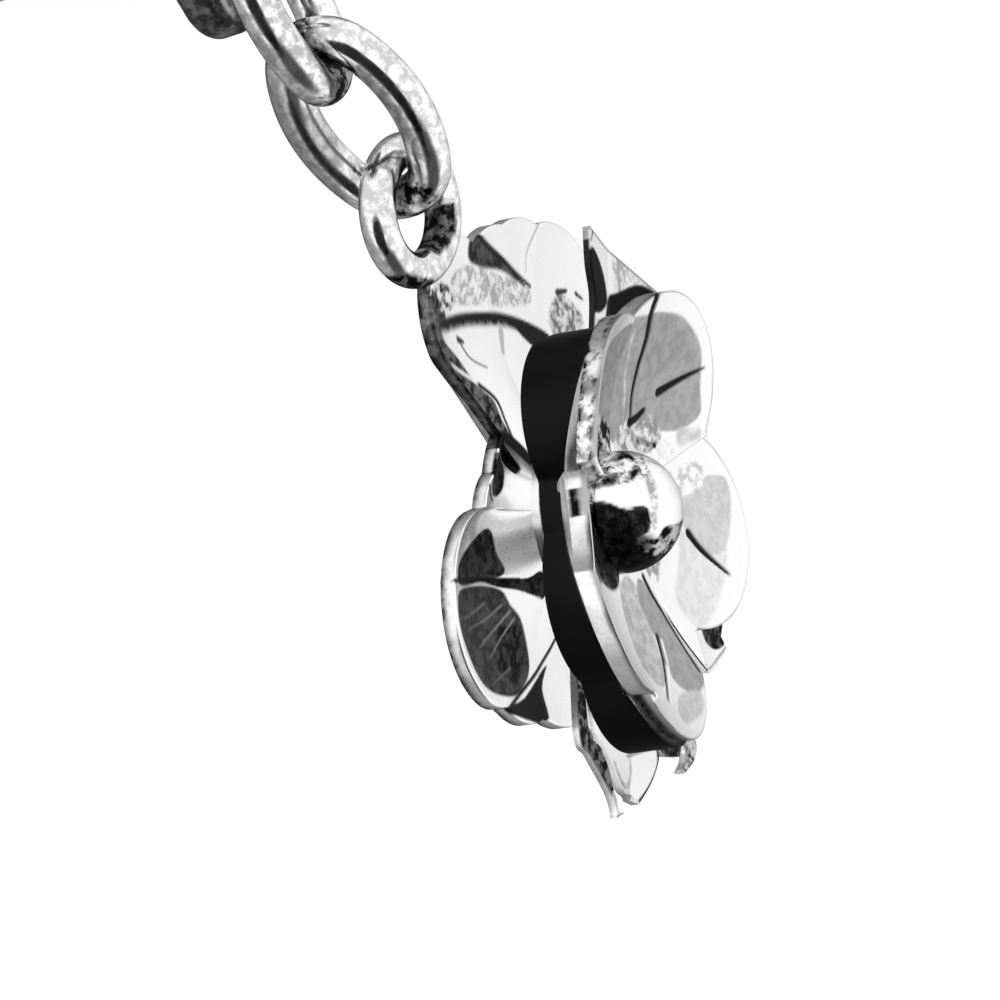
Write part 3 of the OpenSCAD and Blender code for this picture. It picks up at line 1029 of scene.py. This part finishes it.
@dataclass
class Blossom:
    """The front flower of five overlapping petals and its round bead."""

    thick: float = 0.7
    hole_r: float = 0.9
    bead_r: float = 2.2
    lift_r: float = 8.0
    lift_curve: float = 1.8
    outline: Outline = Outline(5.0, (
        Lobe(350, 7.5, 5.4), Lobe(70, 8.6, 3.8), Lobe(134, 8.5, 3.8),
        Lobe(212, 8.4, 3.7), Lobe(264, 7.8, 4.0), Lobe(304, 7.9, 2.4),
    ))
    pin: tuple[Place, ...] = (
        (0.0, -2.75), (1.1, -2.75), (1.3, -2.5), (1.3, -2.25), (0.6, -2.25), (0.6, -0.05)
    )
    # The bead's painted shade and dark reflections on its left side, and grey reflections across its top.
    bead_painted_reflections: tuple[Mark, ...] = (
        Patch(((271, 1.9), (255, 1.5), (260, 1.1), (220, 0.7), (150, 1.2), (150, 2.2), (170, 2.5), (200, 2.5),
               (240, 2.3)), 0.2, 0.1, 0.5),
        Patch(((226, 1.8), (205, 1.6), (180, 1.8), (160, 2.4), (190, 2.6), (230, 2.3)), 0.05, 0.1, 0.15),
        Patch(((326, 2.5), (314, 2.15), (306, 1.95), (306, 1.5), (290, 1.42), (274, 1.55), (270, 1.75),
               (270, 1.88), (256, 1.92), (240, 1.8), (224, 1.82), (205, 2.1), (190, 2.5), (240, 2.8),
               (290, 2.8)), 0.005, 0.05, 0.03),
        Patch(((304, 1.85), (305, 1.55), (290, 1.5), (274, 1.62), (272, 1.85)), 0.03, 0.08, 0.04),
        Patch(((331, 2.4), (333, 2.0), (342, 1.7), (4, 1.45), (26, 1.75), (40, 2.1), (30, 2.5), (0, 2.6)),
              0.48, 0.06, 0.6),
        Patch(((359, 1.45), (352, 1.25), (298, 1.15), (268, 1.4), (290, 1.4), (340, 1.5)), 0.68, 0.08, 0.3),
        Stroke(((24, 1.7), (60, 1.3), (110, 1.3), (140, 1.7)), 0.6, 0.12, 0.3, half=0.07),
    )

    def height(self, lift: Array, dist: Array) -> Array:
        """Gives the front's height where the rim's lift and the distance from the axis are these."""
        rise = np.maximum(0.0, dist - self.bead_r) / (self.lift_r - self.bead_r)
        return lift * rise**self.lift_curve

    def petal(self, shop: Workshop, petal: Petal) -> BMesh:
        """Forms one petal in the flower's frame."""
        return shop.sheet(SheetCut(
            start=petal.start - petal.tucks[0], stop=petal.stop + petal.tucks[1], inner=self.hole_r,
            reach=self.outline, front=lambda angle, dist: self.height(petal.lift(angle), dist),
            thick=self.thick, sides=0.12, columns=150, rows=100, marks=petal.marks,
            # The petals' rims are painted half as bright: a painted dark reflection along their outlines.
            walls=petal.walls, edge=0.5,
        ))

    def build(self, shop: Workshop) -> None:
        """Makes the petals and the bead."""
        nodes = ["front_blossom"]
        for petal in PETALS:
            shop.keep(self.petal(shop, petal), petal.name, ENGRAVED, Body.DROP, shop.flower, *nodes)
            nodes = []
        turns = [math.radians(a) for a in range(0, 91, 2)]
        dome = [(self.bead_r * math.cos(a), self.bead_r * math.sin(a)) for a in turns]
        bead = shop.turned([*self.pin, *dome], 120)
        bead.transform(rotation(90, "X"))
        # The bead gets its painted shade and reflections.
        shop.paint(bead, self.bead_painted_reflections, up=2)
        shop.keep(bead, "centre_bead", BEAD, Body.DROP, shop.flower, "centre_rivet")


@dataclass
class Calyx:
    """The cup behind the blossom, painted near-black for its oxide and for the shade of the recess between
    the layers.
    """

    side: float = 288.0
    sheet_t: float = 0.5
    front: float = -0.75
    back: float = -1.7
    rise: float = 0.7
    skin: float = 0.3
    # How dark the whole cup is painted: its oxide and the painted shade of the recess.
    tone: float = 0.012
    hole_r: float = 0.65
    outline: Outline = Outline(4.7, (
        Lobe(4, 7.1, 3.2), Lobe(70, 7.8, 3.6), Lobe(134, 7.6, 3.6), Lobe(212, 8.6, 3.6),
        Lobe(248, 6.7, 3.6),
    ))

    def build(self, shop: Workshop, blossom: Blossom) -> None:
        """Makes the cup so that it fills the space behind the petals."""

        def top(angle: Array, dist: Array) -> Array:
            low = PETALS[0].start
            near = (angle - low) % 360.0 + low
            over = [(near >= p.start) & (near < p.stop) for p in PETALS]
            lift = np.select(over, [p.lift(near) for p in PETALS])
            return blossom.height(lift, dist) + self.front

        bm = shop.sheet(SheetCut(
            start=0.0, stop=360.0, inner=self.hole_r, reach=self.outline, front=top, thick=1.0,
            columns=240, rows=40, shoulder=0.1,
        ))
        places = shop.rows(bm)
        angle = np.degrees(np.arctan2(places[:, 0], places[:, 2])) % 360.0
        dist = np.hypot(places[:, 0], places[:, 2])
        back = np.clip((top(angle, dist) + places[:, 1] - self.skin) / (1.0 - self.skin), 0.0, 1.0)
        deep = np.clip(2 * np.cos(np.radians(angle - self.side)) + 0.6, 0.0, 1.0)
        out = np.maximum(0.0, dist - blossom.bead_r) / (self.outline(angle) - blossom.bead_r)
        floor = (self.back + self.rise * out) * deep + (top(angle, dist) - self.sheet_t) * (1 - deep)
        places[:, 1] += (-floor - places[:, 1]) * back
        shop.move_to(bm, places)
        # The whole cup is painted near-black, for its oxide and as painted shade in the recess.
        shop.paint(bm, dim=self.tone)
        shop.keep(bm, "calyx_cup", BLACKENED_AND_SHADED, Body.DROP, shop.flower, "calyx")


# On the back petals the dark and grey patches, bands and streaks are painted shade and painted reflections;
# the thin strokes cut in are creases, darkened with oxide and painted shade.
BACK_PETALS = (
    Petal(
        "back_petal_top", -22.0, 98.0,
        marks=(
            Patch(((6, 10.2), (15, 10.0), (24, 9.3), (43, 8.8), (46, 8.2), (32, 7.9), (14, 8.5), (3, 9.5)),
                  0.72, 0.15, 0.3),
            Patch(((353, 11.2), (2, 10.4), (3, 9.4), (353, 9.6), (349, 10.5)), 0.5, 0.15, 0.6),
            Patch(((57, 8.0), (59, 9.0), (65, 9.5), (74, 9.4), (72, 7.6), (62, 7.4)), 0.5, 0.2, 0.4),
            Stroke(((50, 11.6), (46, 10.5), (44, 9.9), (44, 9.3)), 0.5, depth=0.025, half=0.05),
            Patch(((18, 10.9), (15, 10.2), (20, 9.6), (31, 9.2), (44, 8.7), (33, 9.6), (25, 10.3)),
                  0.06, 0.16, 0.05),
            Stroke(((20, 10.9), (26, 10.1), (33, 9.5), (39, 9.1), (46, 8.8)), 0.01, 0.15, half=0.13),
            Stroke(((60, 9.3), (64, 9.7)), 0.05, half=0.14),
            Stroke(((68, 10.0), (71, 10.1)), 0.05, half=0.09),
            Stroke(((60, 8.9), (62, 8.8)), 0.1, half=0.08),
            # A dark band that curves across the petal toward the cup, and the black where it ends: the
            # painted shadow of the fold above it.
            Stroke(((353, 9.6), (4, 8.6), (15, 7.9), (26, 7.5), (39, 7.2), (48, 7.1)), 0.12, 0.25, 0.2,
                   half=0.24, thin=0.2),
            Stroke(((353, 9.7), (4, 8.7), (15, 8.0), (26, 7.6), (39, 7.3), (50, 7.2)), 0.01, 0.2,
                   half=0.17, thin=0.0),
            Patch(((32, 7.5), (46, 7.4), (58, 7.4), (60, 6.7), (44, 6.6)), 0.01, 0.12),
            Stroke(((359, 8.3), (1, 8.0)), 0.06, half=0.13),
            Stroke(((25, 7.1), (23, 6.4)), 0.55, 0.15, half=0.2),
            Stroke(((359, 8.4), (1, 7.3), (8, 6.4)), 0.05, half=0.05),
            Patch(((343, 12.5), (357, 10.4), (352, 9.4), (355, 7.9), (357, 6.8), (2, 5.5), (0, 4.6),
                   (357, 3.7), (336, 3.7), (334, 8.0)), 0.09, 0.1, 0.1),
            Stroke(((350, 8.2), (357, 6.7), (2, 5.6)), 0.95, half=0.07, thin=0.0),
            Stroke(((359, 6.3), (4, 5.3), (2, 4.5), (359, 3.8)), 0.01, depth=0.025, half=0.09),
            Patch(((340, 4.7), (355, 4.5), (2, 3.4), (0, 2.6), (344, 2.9)), 0.01, 0.12),
        ),
        walls=(Wall((0.2, 0.15, 0.1, 0.05), 0.1), Wall((1.0, 1.0, 0.9, 0.7), 0.1, 5, 100)),
    ),
    Petal(
        "back_petal_right", 98.0, 200.0,
        marks=(
            Stroke(((132, 9.4), (124, 6.5), (110, 4)), 0.02, 0.1, depth=0.025, half=0.1),
            Stroke(((166, 9.4), (158, 6.5), (146, 4)), 0.02, 0.1, depth=0.025, half=0.1),
            Patch(((104, 7.0), (112, 8.4), (126, 8.2), (122, 6.4), (112, 5.2)), 0.12, 0.12, 0.1),
            Patch(((138, 7.2), (146, 8.4), (158, 8.2), (154, 6.4), (144, 5.4)), 0.14, 0.12, 0.1),
        ),
    ),
    Petal(
        "back_petal_left", 200.0, 338.0,
        marks=(
            # Painted shadow in the notch beside the upper petal.
            Patch(((340, 4.8), (345, 3.4), (330, 3.2), (322, 4.0)), 0.03, 0.1, 0.1),
            Stroke(((323, 4.6), (319, 4.0)), 0.08, half=0.12),
            Patch(((305, 4.6), (300, 6.3), (296, 7.8), (291, 7.9), (287, 6.0), (283, 4.4), (294, 4.5)),
                  0.035, 0.08, 0.04),
            Patch(((289, 6.4), (282, 4.7), (270, 3.3), (264, 2.6), (250, 2.6), (245, 3.1), (253, 3.3),
                   (270, 4.0), (280, 5.0), (286, 5.8)), 0.01, 0.06, 0.02),
            Patch(((290, 8.0), (286, 6.1), (278, 4.9), (269, 4.7), (258, 4.5), (246, 5.1), (243, 5.8),
                   (246, 6.6), (252, 7.5), (262, 8.5), (270, 9.0), (281, 9.0), (287, 8.7)),
                  0.055, 0.1, 0.03),
            Patch(((268, 6.0), (256, 4.8), (247, 5.4), (251, 6.8), (262, 7.2)), 0.012, 0.3, 0.04),
            Stroke(((262, 4.8), (265, 6.0), (267, 7.4)), 0.32, 0.12, half=0.04, thin=0.8),
            Stroke(((267, 4.9), (270, 6.2), (273, 7.8)), 0.28, 0.12, half=0.05, thin=0.8),
            Stroke(((273, 5.2), (276, 6.6), (280, 8.2)), 0.24, 0.12, half=0.04, thin=0.8),
            Stroke(((280, 6.2), (282, 7.6), (284, 8.6)), 0.2, 0.12, half=0.05, thin=0.8),
            Stroke(((256, 6.6), (260, 7.4), (264, 8.4)), 0.16, 0.12, half=0.05, thin=0.8),
            Stroke(((293, 8.4), (289, 6.3), (282, 4.7), (274, 3.7)), 0.01, depth=0.025, half=0.08),
            Patch(((229, 5.2), (234, 6.2), (234, 7.5), (256, 8.5), (246, 7.1)), 0.008, 0.08),
            Stroke(((220, 4.2), (228, 4.8), (241, 6.1), (256, 8.6)), 0.01, depth=0.025, half=0.08, thin=0.0),
        ),
        walls=(Wall((0.95, 0.7, 0.3, 0.08), 0.15),),
    ),
)


@dataclass
class BackFlower:
    """The three hollow petals behind, with the ring soldered on the upper one."""

    thick: float = 0.45
    front: float = -2.2
    sink: float = 0.7
    dish: float = 0.6
    hole_r: float = 0.7
    hub: float = 1.6
    swirl: float = 1.6
    ring_rise: float = 13.7
    ring_marks: tuple[Mark, ...] = (
        Patch(((0, 3.5), (90, 3.5), (180, 3.5), (270, 3.5)), 0.85, 0.1, 0.25),
        Patch(((118, 1.9), (125, 1.3), (150, 1.2), (190, 1.3), (190, 1.8), (150, 2.0)), 0.03, 0.12, 0.15),
        Patch(((200, 3.0), (206, 2.5), (228, 2.45), (246, 2.6), (248, 3.2)), 0.03, 0.12, 0.25),
    )
    outline: Outline = Outline(4.3, (
        Lobe(5.5, 11.6, 2.85), Lobe(30, 10.9, 4.1), Lobe(45, 11.25, 4.4), Lobe(63, 11.9, 4.4),
        Lobe(118, 9.4, 3.2), Lobe(148, 9.4, 3.8), Lobe(182, 8.8, 3.2),
        Lobe(222, 7.4, 5.0), Lobe(258, 8.4, 3.8), Lobe(274, 9.4, 3.3), Lobe(296, 5.2, 2.2),
    ))

    @property
    def ring_depth(self) -> float:
        """Depth of the ring's middle, at the height of the petals' front rims."""
        return self.front - self.sink

    def depth(self, angle: Array, dist: Array) -> Array:
        """Gives the depth of the petals' front."""
        t = np.maximum(0.0, dist - self.hub) / (self.outline(angle) - self.hub)
        return self.front - self.sink * t - self.dish * np.sin(math.pi * t)

    def build(self, shop: Workshop, chain: Chain) -> None:
        """Makes the petals and the ring."""
        nodes = ["back_petals"]
        for petal in BACK_PETALS:
            bm = shop.sheet(SheetCut(
                start=petal.start, stop=petal.stop, inner=self.hole_r, reach=self.outline,
                front=self.depth, thick=self.thick, columns=260, rows=120, shoulder=0.12,
                swirl=self.swirl, marks=petal.marks, walls=petal.walls,
            ))
            shop.keep(bm, petal.name, BACK, Body.DROP, shop.flower, *nodes)
            nodes = []
        start = moved(chain.ring_mid_r) @ rotation(90, "X")
        ring = shop.ring_of_wire(chain.ring_wire_r, [((0.0, 0.0), math.tau, 96)], start)
        shop.paint(ring, self.ring_marks)
        place = (
            shop.flower @ moved(0.0, -self.ring_depth, self.ring_rise)
            @ rotation(-chain.ring_turn, "Z") @ rotation(90, "X")
        )
        shop.keep(ring, "flower_ring", WIRE, Body.DROP, place)


@dataclass(frozen=True)
class Leaf:
    """One leaf between the flower's layers, ruled from its left edge to its right edge.

    Attributes:
        name: The piece's name.
        left: Points of its left edge from its root, each an angle from up and a distance.
        right: Points of its right edge.
        fold: Share of the way across where it is folded.
        lifts: How far its left and its right edge lie in front of the fold at its tip.
        marks: What is drawn on it.
        walls: How bright its cut edge is.
    """

    name: str
    left: tuple[Polar, ...]
    right: tuple[Polar, ...]
    fold: float = 0.5
    lifts: tuple[float, float] = (0.0, 0.0)
    marks: tuple[Mark, ...] = ()
    walls: tuple[Wall, ...] = (Wall((1.0, 0.8, 0.6), 0.1),)


# The leaves lie deep between the layers; their near-black patches are oxide and painted shade.
LEAVES = (
    Leaf(
        "leaf_top",
        ((66, 3.0), (65, 6.0), (62, 8.8), (58, 10.1), (56, 11.4)),
        ((92, 3.0), (92, 6.0), (91, 9.0), (89, 11.4), (86, 12.7)),
        0.3, (0.2, 0.25),
        (
            Patch(((68, 12.4), (88, 12.9), (90, 10.5), (74, 9.0), (69, 10.6)), 0.72, 0.2, 0.25),
            Stroke(((69, 12.2), (70, 11.4), (73, 10.2)), 0.42, 0.1, half=0.14),
            # Near-black on the leaf's left side and lower part: painted shadow, from the dome beside it and
            # the layers around it.
            Patch(((57, 10.6), (60, 10.7), (65, 10.2), (68, 9.3), (62, 8.4), (58, 9.6)), 0.0, 0.1),
            Patch(((68, 9.4), (72, 10.3), (79, 11.8), (86, 12.2), (86, 9.0), (72, 7.5)), 0.0, 0.12),
            Stroke(((56, 11.4), (86, 12.7)), 0.3, half=0.08, thin=0.0),
            Stroke(((58, 11.5), (57, 10.9)), 0.08, half=0.07),
        ),
        # Its left cut edge is painted near-black, in the same painted shadow.
        (Wall((0.5, 0.4, 0.3), 0.1), Wall((0.03, 0.03, 0.03), 0.0, 56.6, 70)),
    ),
    Leaf(
        "leaf_right",
        ((146, 3.0), (145, 7.0), (146, 10.5), (146, 12.3)),
        ((164, 3.0), (160, 7.0), (158, 11.2), (150, 12.5)),
        0.5, (0.1, 0.2),
        (
            Patch(((143, 12.6), (149, 12.5), (152, 11.6), (150, 10.6), (144, 10.6)), 0.04, 0.1, 0.1),
            Stroke(((150, 12.5), (156, 11.5), (158, 11.0)), 0.45, half=0.06),
            Stroke(((157, 11.0), (160, 10.4)), 0.05, half=0.12),
        ),
    ),
    Leaf(
        "leaf_claw",
        ((172, 3.0), (172, 8.0), (173, 11.2), (177, 11.7), (183, 11.4)),
        ((180, 3.0), (179, 8.0), (178, 10.7), (180, 11.2), (183, 11.2)),
        0.5, (0.1, 0.1),
        (
            Patch(((170, 10.0), (173, 11.6), (180, 11.8), (184, 11.4), (180, 10.6)), 0.35, 0.1, 0.4),
        ),
    ),
    Leaf(
        "leaf_low_right",
        ((178, 3.0), (178, 8.0), (178, 10.4), (181, 10.9)),
        ((194, 3.0), (192, 8.0), (188, 9.6), (186, 10.2)),
        0.5, (0.0, 0.0),
        # The leaf is painted near-black: the painted shadow of the low petal that covers it.
        (Patch(((174, 6.0), (174, 11.4), (190, 11.0), (194, 6.0)), 0.03, 0.1, 0.1),),
    ),
    Leaf(
        "leaf_low",
        ((188, 3.0), (189, 8.0), (189, 9.6), (196, 10.2), (206, 10.6)),
        ((226, 3.0), (222, 7.4), (217, 9.0), (214, 9.9), (211, 10.1)),
        0.5, (0.1, 0.3),
        (
            Stroke(((215, 8.9), (213, 9.6), (209, 9.8), (206, 9.5), (204, 8.8)), 0.6, 0.1, 0.15, half=0.14),
            Stroke(((206, 8.8), (192, 9.3)), 0.4, half=0.07),
            Stroke(((189, 9.0), (191, 9.9), (198, 10.3), (207, 10.6)), 0.04, 0.08, half=0.13),
            Stroke(((206, 10.5), (210, 10.0)), 0.7, 0.08, 0.2, half=0.1),
        ),
    ),
    Leaf(
        "leaf_low_stem",
        ((226, 3.0), (227, 7.4), (220, 8.3), (217, 9.1), (216, 9.8), (214, 10.4), (213, 10.7)),
        ((236, 3.0), (232, 7.8), (226, 8.6), (220, 9.4), (217, 10.0), (216, 10.5), (216, 10.8)),
        0.5, (0.05, 0.05),
        (
            Patch(((240, 3.0), (236, 8.0), (222, 9.6), (217, 10.0), (215, 9.7), (217, 8.6), (226, 7.2),
                   (224, 3.0)), 0.05, 0.1, 0.2),
            Stroke(((216, 9.9), (215, 10.6)), 0.65, 0.08, 0.2, half=0.1),
            Stroke(((216, 10.8), (213, 10.7)), 0.2, half=0.08),
        ),
    ),
)


@dataclass
class Leaves:
    """The leaves whose tips look out between the layers, and the disc that they are cut from."""

    depth: float = -1.75
    thick: float = 0.3
    hub_r: float = 3.2
    hole_r: float = 0.65

    @staticmethod
    def edge(points: Sequence[Polar], shares: Array) -> Array:
        """Gives the places at even shares of the way along an edge."""
        line = np.array(smooth_line([to_plane(p) for p in points], steps=8))
        run = np.concatenate([[0.0], np.cumsum(np.hypot(*np.diff(line, axis=0).T))])
        return np.stack([np.interp(shares * run[-1], run, column) for column in line.T], axis=1)

    def shape(self, shop: Workshop, leaf: Leaf) -> BMesh:
        """Forms one leaf in the flower's frame."""
        bm = bmesh.new()
        bmesh.ops.create_grid(bm, x_segments=60, y_segments=120, size=0.5)
        flat = shop.rows(bm)
        across, along = flat[:, 0] + 0.5, flat[:, 1] + 0.5
        left, right = self.edge(leaf.left, along), self.edge(leaf.right, along)
        spots = left + (right - left) * across[:, None]
        before = np.clip(1.0 - across / leaf.fold, 0.0, 1.0) * leaf.lifts[0]
        after = np.clip((across - leaf.fold) / (1.0 - leaf.fold), 0.0, 1.0) * leaf.lifts[1]
        x, z = spots[:, 0], spots[:, 1]
        cuts = shop.draw(bm, leaf.marks, x, z)
        depth = self.depth + (before + after) * along**2 - cuts
        shop.move_to(bm, np.stack([x, -depth, z], axis=1))
        shop.thicken(bm, self.thick, leaf.walls)
        return bm

    def build(self, shop: Workshop) -> None:
        """Makes the disc and every leaf."""
        low, high = self.depth - self.thick, self.depth
        rims = [(self.hole_r, low), (self.hub_r, low), (self.hub_r, high), (self.hole_r, high)]
        disc = shop.turned([*rims, rims[0]])
        shop.keep(disc, "leaf_disc", LEAF, Body.DROP, shop.flower @ rotation(90, "X"), "leaf_sheet")
        for leaf in LEAVES:
            shop.keep(self.shape(shop, leaf), leaf.name, LEAF, Body.DROP, shop.flower)


# The studio


@dataclass(frozen=True)
class Flag:
    """A dark card in the studio that the silver mirrors.

    Attributes:
        azimuth: Its direction round the earring, 0 toward -Y and 90 toward +X.
        height: Its direction above the horizon, in degrees.
        size: Half its width, in degrees.
        soft: How softly it ends, in degrees.
        level: How bright it is.
    """

    azimuth: float
    height: float
    size: float
    soft: float = 8.0
    level: float = 0.03


@dataclass
class Studio:
    """A pale floor, soft light all round, and the camera."""

    floor_z: float = -0.12
    floor_half: float = 4.0
    azimuth: float = -58.6
    elevation: float = 26.6
    roll: float = -30.4
    distance: float = 200.0
    scale: float = 28.0
    anchor_px: tuple[float, float] = (622.0, 512.0)
    picture: float = 1000.0
    sensor: float = 36.0
    glow: float = 1.08
    lamp_place: tuple[float, float, float] = (-0.2, -0.4, 0.8)
    lamp_size: float = 0.6
    lamp_watts: float = 3.0
    flags: tuple[Flag, ...] = (
        Flag(-82, -4, 24, 10, 0.02), Flag(-74, -47, 18, 20, 0.08), Flag(55, 80, 9, 8, 0.12),
        Flag(179, -31, 40, 30, 0.35), Flag(128, 13, 25, 20, 0.3),
    )

    def camera(self, shop: Workshop) -> None:
        """Sets the camera at the photograph's view."""
        toward = direction(self.azimuth, self.elevation)
        level, roll = direction(self.azimuth + 90.0, 0.0), math.radians(self.roll)
        plumb = toward.cross(level)
        right = level * math.cos(roll) + plumb * math.sin(roll)
        up = plumb * math.cos(roll) - level * math.sin(roll)
        anchor = shop.flower.translation
        middle = self.picture / 2
        shift = (middle - self.anchor_px[0]) / self.scale, (self.anchor_px[1] - middle) / self.scale
        aim = anchor + right * shift[0] + up * shift[1]
        eye = anchor + toward * self.distance
        back = (eye - aim).normalized()
        side = (right - back * right.dot(back)).normalized()
        lens = bpy.data.cameras.new("view_camera")
        lens.sensor_width = self.sensor
        lens.lens = self.sensor * (eye - aim).length / (self.picture / self.scale)
        lens.clip_start, lens.clip_end = 0.01, 20.0
        holder = bpy.data.objects.new("view_camera", lens)
        turn = Matrix((side, back.cross(side), back)).transposed().to_4x4()
        holder.matrix_world = Matrix.Translation(eye * MM) @ turn
        show(holder)
        bpy.context.scene.camera = holder

    def surroundings(self) -> None:
        """Lights the studio: white all round, with dark cards that only the silver sees."""
        world = bpy.data.worlds.new("studio")
        bpy.context.scene.world = world
        world.use_nodes = True
        bench = Bench(world.node_tree)
        ray = bench.node("ShaderNodeTexCoord", out="Generated")
        level: Any = 1.0
        for flag in self.flags:
            aim = direction(flag.azimuth, flag.height)
            near = bench.node("ShaderNodeVectorMath", {"operation": "DOT_PRODUCT"}, ray, aim, out="Value")
            inner = math.cos(math.radians(flag.size))
            outer = math.cos(math.radians(flag.size + flag.soft))
            level = level * (1.0 - near.rise(outer, inner) * (1.0 - flag.level))
        seen = bench.node("ShaderNodeLightPath", out="Is Camera Ray")
        colour = bench.blend(seen, level, grey(1.0))
        shader = bench.node("ShaderNodeBackground", None, Color=colour, Strength=self.glow)
        bench.node("ShaderNodeOutputWorld", None, shader)

    def floor(self) -> None:
        """Lays a pale floor far below, out of the silver's reflections."""
        bm = bmesh.new()
        bmesh.ops.create_grid(bm, x_segments=1, y_segments=1, size=self.floor_half)
        bmesh.ops.translate(bm, verts=bm.verts[:], vec=(0.0, 0.0, self.floor_z))
        mesh = bpy.data.meshes.new("floor")
        bm.to_mesh(mesh)
        bm.free()
        material = bpy.data.materials.new("pale_floor")
        material.use_nodes = True
        bench = Bench(material.node_tree)
        mottle = bench.noise(0.02, 2.0)
        tone = bench.blend(mottle, grey(0.95), grey(0.98))
        shader = bench.node("ShaderNodeBsdfPrincipled", None, Base_Color=tone, Roughness=0.8)
        bench.node("ShaderNodeOutputMaterial", None, shader)
        mesh.materials.append(material)
        plane = bpy.data.objects.new("floor", mesh)
        show(plane)
        plane.visible_glossy = False

    def lamps(self) -> None:
        """Hangs one broad soft lamp above."""
        light = bpy.data.lights.new("soft_lamp", "AREA")
        light.shape = "DISK"
        light.size = self.lamp_size
        light.energy = self.lamp_watts
        lamp = bpy.data.objects.new("soft_lamp", light)
        lamp.location = self.lamp_place
        lamp.rotation_euler = Vector(self.lamp_place).to_track_quat("Z", "Y").to_euler()
        show(lamp)
        lamp.visible_glossy = False

    def build(self, shop: Workshop) -> None:
        """Sets up everything round the earring."""
        self.camera(shop)
        self.surroundings()
        self.floor()
        self.lamps()
        bpy.context.scene.view_settings.view_transform = "Standard"


def hung_flower(chain: Chain, back: BackFlower, lean: float = 7.0) -> Matrix:
    """Gives the flower's own frame in its hanging place, in millimetres."""
    return (
        moved(0.0, chain.hinge[0], chain.ring_top)
        @ rotation(lean, "X")
        @ moved(0.0, back.ring_depth, -back.ring_rise - chain.ring_mid_r)
    )


def main() -> None:
    """Builds the earring in order."""
    logging.basicConfig(level=logging.INFO, format="%(name)s: %(message)s")
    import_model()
    chain, back, blossom = Chain(), BackFlower(), Blossom()
    shop = Workshop(hung_flower(chain, back))
    Studio().build(shop)
    chain.build(shop)
    back.build(shop, chain)
    Leaves().build(shop)
    Calyx().build(shop, blossom)
    blossom.build(shop)


if __name__ == "__main__":
    main()
